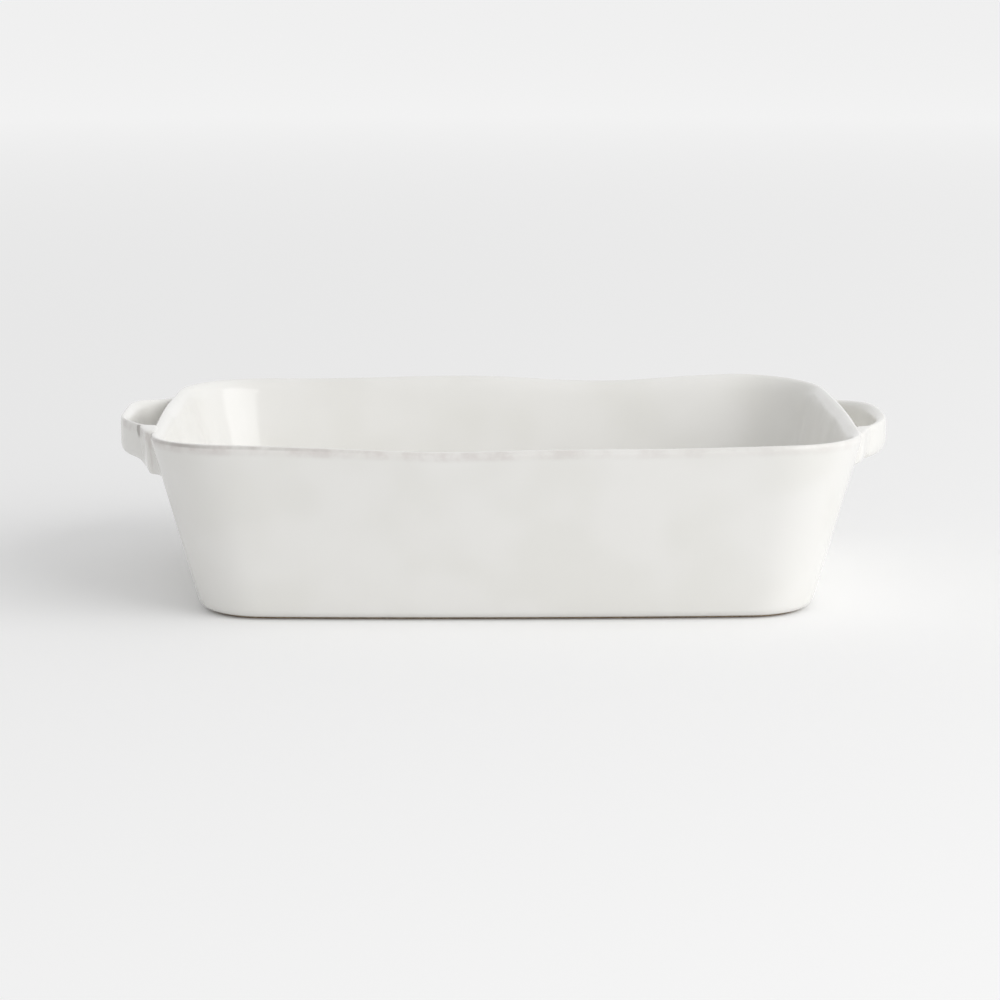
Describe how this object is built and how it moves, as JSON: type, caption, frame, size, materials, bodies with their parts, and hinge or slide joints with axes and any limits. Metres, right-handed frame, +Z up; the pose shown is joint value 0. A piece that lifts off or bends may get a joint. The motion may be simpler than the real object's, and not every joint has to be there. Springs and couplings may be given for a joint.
{
  "type": "lasagna dish",
  "caption": "Deep rectangular stoneware baking dish with tapered sides, an uneven hand-finished rim and a strap handle at each end.",
  "frame": {"origin": "under the middle of the dish, on the surface that its foot stands on", "axes": "+X along the dish towards its right handle, +Y from the front side to the back, +Z up out of the mouth"},
  "size_m": [0.392, 0.2534, 0.0904],
  "materials": {
    "glazed_stoneware": "gloss"
  },
  "bodies": {
    "root": {"dish_tub": "glazed_stoneware", "left_handle": "glazed_stoneware", "right_handle": "glazed_stoneware"}
  },
  "joints": []
}
